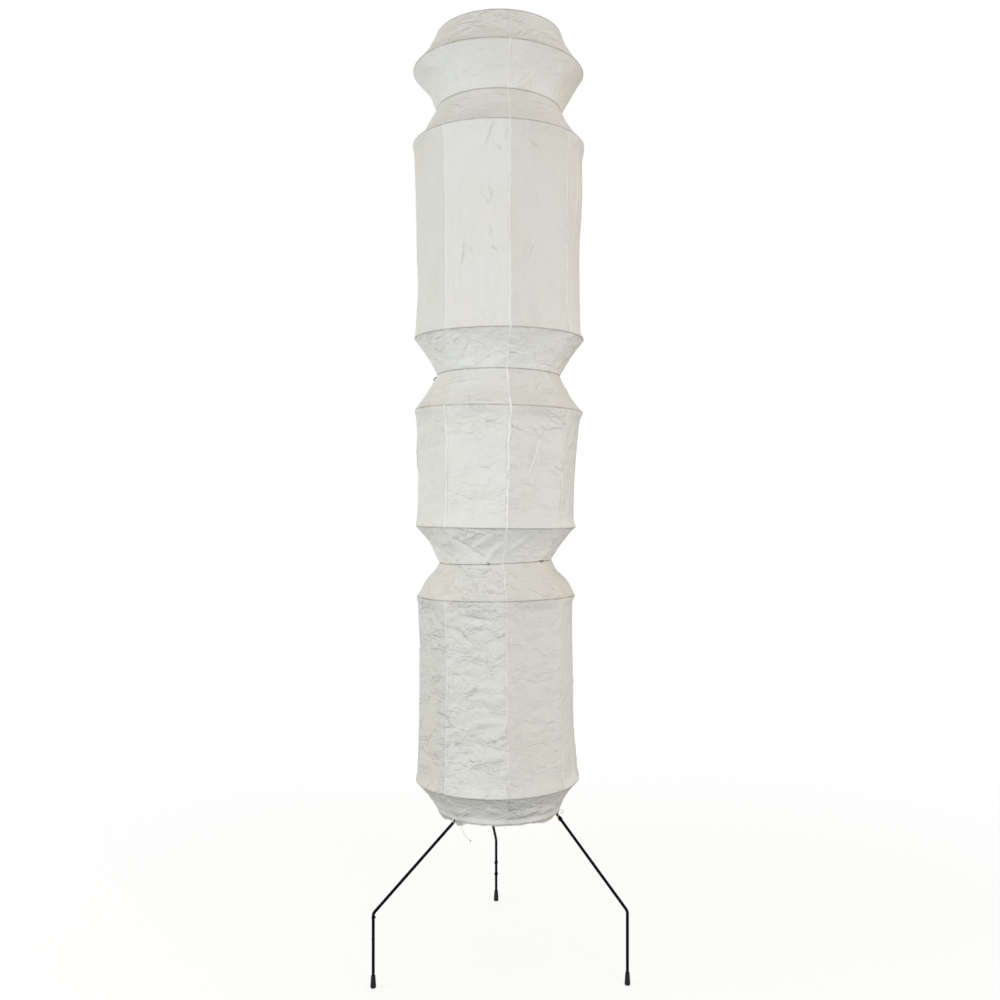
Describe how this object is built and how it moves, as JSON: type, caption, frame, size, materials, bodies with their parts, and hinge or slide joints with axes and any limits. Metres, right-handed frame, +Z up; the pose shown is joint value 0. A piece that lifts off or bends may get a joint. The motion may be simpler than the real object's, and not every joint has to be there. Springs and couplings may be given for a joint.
{
  "type": "floor lamp",
  "caption": "Tall paper lantern floor lamp: a waisted white paper shade on wire rings, hung from an inner stem over three thin bent black legs.",
  "frame": {"origin": "where the lamp's axis, which is the stem's axis, meets the floor", "axes": "+Z up along the stem; the lamp's front as pictured faces -Y; +X is to the right seen from the front"},
  "size_m": [0.5097, 0.473, 1.9277],
  "materials": {
    "leg_paint": "satin",
    "tip_rubber": "matte",
    "bush_plastic": "matte",
    "screw_steel": "satin",
    "lead_plastic": "satin",
    "holder_plastic": "satin",
    "core_ceramic": "gloss",
    "shell_brass": "satin",
    "cap_aluminium": "satin",
    "bulb_glass": "gloss",
    "ring_wire": "satin",
    "shade_paper": "matte",
    "thread": "matte"
  },
  "bodies": {
    "stand": {"leg_left": "leg_paint", "leg_right": "leg_paint", "leg_rear": "leg_paint", "foot_left": "tip_rubber", "foot_right": "tip_rubber", "foot_rear": "tip_rubber", "base_hub": "leg_paint", "cord_bush": "bush_plastic", "lower_stem": "leg_paint", "stem_coupler": "leg_paint", "upper_stem": "leg_paint", "top_spider": "leg_paint", "clamp_screws": "screw_steel", "inner_leads": "lead_plastic", "lower_arm": "leg_paint", "lower_holder": "holder_plastic", "lower_holder_core": "core_ceramic", "lower_thread_shell": "shell_brass", "lower_contact": "shell_brass", "upper_arm": "leg_paint", "upper_holder": "holder_plastic", "upper_holder_core": "core_ceramic", "upper_thread_shell": "shell_brass", "upper_contact": "shell_brass", "ring_top": "ring_wire"},
    "hem_hoop": {"ring_hem": "ring_wire", "paper_skirt": "shade_paper", "hem_knots": "thread"},
    "lower_hoop": {"ring_lower": "ring_wire", "paper_lower": "shade_paper"},
    "lower_top_hoop": {"ring_lower_top": "ring_wire", "paper_lower_flare": "shade_paper"},
    "lower_waist_hoop": {"ring_lower_waist": "ring_wire", "paper_middle_taper": "shade_paper"},
    "middle_hoop": {"ring_middle": "ring_wire", "paper_middle": "shade_paper"},
    "middle_top_hoop": {"ring_middle_top": "ring_wire", "paper_middle_flare": "shade_paper"},
    "upper_waist_hoop": {"ring_upper_waist": "ring_wire", "paper_upper_taper": "shade_paper"},
    "upper_hoop": {"ring_upper": "ring_wire", "paper_upper": "shade_paper"},
    "shoulder_hoop": {"ring_shoulder": "ring_wire", "paper_shoulder": "shade_paper"},
    "neck_hoop": {"ring_neck": "ring_wire", "paper_crown": "shade_paper"},
    "crown_hoop": {"ring_crown": "ring_wire", "paper_cap": "shade_paper"},
    "lower_bulb": {"lower_bulb_cap": "cap_aluminium", "lower_bulb_glass": "bulb_glass"},
    "upper_bulb": {"upper_bulb_cap": "cap_aluminium", "upper_bulb_glass": "bulb_glass"}
  },
  "joints": [
    {"name": "shade_gather", "type": "slide", "parent": "stand", "child": "hem_hoop", "axis": [0, 0, 1], "range_m": [0, 1.517], "deforming": ["paper_skirt"]},
    {"name": "lower_ring_rise", "type": "slide", "parent": "stand", "child": "lower_hoop", "axis": [0, 0, 1], "range_m": [0, 1.4645], "deforming": ["paper_lower"]},
    {"name": "lower_top_ring_rise", "type": "slide", "parent": "stand", "child": "lower_top_hoop", "axis": [0, 0, 1], "range_m": [0, 1.0905], "deforming": ["paper_lower_flare"]},
    {"name": "lower_waist_ring_rise", "type": "slide", "parent": "stand", "child": "lower_waist_hoop", "axis": [0, 0, 1], "range_m": [0, 1.0285], "deforming": ["paper_middle_taper"]},
    {"name": "middle_ring_rise", "type": "slide", "parent": "stand", "child": "middle_hoop", "axis": [0, 0, 1], "range_m": [0, 0.9655], "deforming": ["paper_middle"]},
    {"name": "middle_top_ring_rise", "type": "slide", "parent": "stand", "child": "middle_top_hoop", "axis": [0, 0, 1], "range_m": [0, 0.7335], "deforming": ["paper_middle_flare"]},
    {"name": "upper_waist_ring_rise", "type": "slide", "parent": "stand", "child": "upper_waist_hoop", "axis": [0, 0, 1], "range_m": [0, 0.6665], "deforming": ["paper_upper_taper"]},
    {"name": "upper_ring_rise", "type": "slide", "parent": "stand", "child": "upper_hoop", "axis": [0, 0, 1], "range_m": [0, 0.6005], "deforming": ["paper_upper"]},
    {"name": "shoulder_ring_rise", "type": "slide", "parent": "stand", "child": "shoulder_hoop", "axis": [0, 0, 1], "range_m": [0, 0.2055], "deforming": ["paper_shoulder"]},
    {"name": "neck_ring_rise", "type": "slide", "parent": "stand", "child": "neck_hoop", "axis": [0, 0, 1], "range_m": [0, 0.1385], "deforming": ["paper_crown"]},
    {"name": "crown_ring_rise", "type": "slide", "parent": "stand", "child": "crown_hoop", "axis": [0, 0, 1], "range_m": [0, 0.0675], "deforming": ["paper_cap"]},
    {"name": "lower_bulb_lift", "type": "slide", "parent": "stand", "child": "lower_bulb", "axis": [0, 0, 1], "range_m": [0, 0.03]},
    {"name": "upper_bulb_lift", "type": "slide", "parent": "stand", "child": "upper_bulb", "axis": [0, 0, 1], "range_m": [0, 0.03]}
  ],
  "couplings": [
    {"joint": "lower_ring_rise", "follows": "shade_gather", "ratio": 0.96506},
    {"joint": "lower_top_ring_rise", "follows": "shade_gather", "ratio": 0.71852},
    {"joint": "lower_waist_ring_rise", "follows": "shade_gather", "ratio": 0.67765},
    {"joint": "middle_ring_rise", "follows": "shade_gather", "ratio": 0.63612},
    {"joint": "middle_top_ring_rise", "follows": "shade_gather", "ratio": 0.48319},
    {"joint": "upper_waist_ring_rise", "follows": "shade_gather", "ratio": 0.43902},
    {"joint": "upper_ring_rise", "follows": "shade_gather", "ratio": 0.39552},
    {"joint": "shoulder_ring_rise", "follows": "shade_gather", "ratio": 0.13514},
    {"joint": "neck_ring_rise", "follows": "shade_gather", "ratio": 0.090969},
    {"joint": "crown_ring_rise", "follows": "shade_gather", "ratio": 0.044166}
  ]
}
